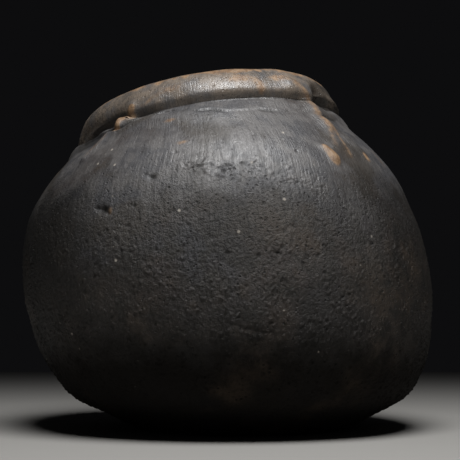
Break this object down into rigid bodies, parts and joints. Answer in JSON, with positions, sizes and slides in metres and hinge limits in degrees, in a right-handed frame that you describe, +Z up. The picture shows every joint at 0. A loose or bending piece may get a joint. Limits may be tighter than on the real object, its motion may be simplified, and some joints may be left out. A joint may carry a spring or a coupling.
{
  "type": "black clay pot",
  "caption": "Small squat round-bellied pot of smoke-blackened fired clay, coil built, with a short neck, a leaning rolled rim and a flat base.",
  "frame": {"origin": "on the ground, in the middle of the pot's footprint", "axes": "+Z up out of the mouth, -Y towards the front, +X towards the side where the leaning rim is highest"},
  "size_m": [0.1808, 0.18, 0.152],
  "materials": {
    "black_clay": "smoke-blackened fired clay, burnished to a soft graphite sheen on the shoulder, matt and gritty below, worn to tan on the rim"
  },
  "bodies": {
    "root": {"floor_slab": "black_clay", "heel_coil": "black_clay", "lower_wall_coil_1": "black_clay", "lower_wall_coil_2": "black_clay", "belly_coil_1": "black_clay", "belly_coil_2": "black_clay", "upper_wall_coil": "black_clay", "shoulder_coil_1": "black_clay", "shoulder_coil_2": "black_clay", "shoulder_coil_3": "black_clay", "neck_coil": "black_clay", "neck_seam_strip": "black_clay", "rim_coil": "black_clay"}
  },
  "joints": []
}
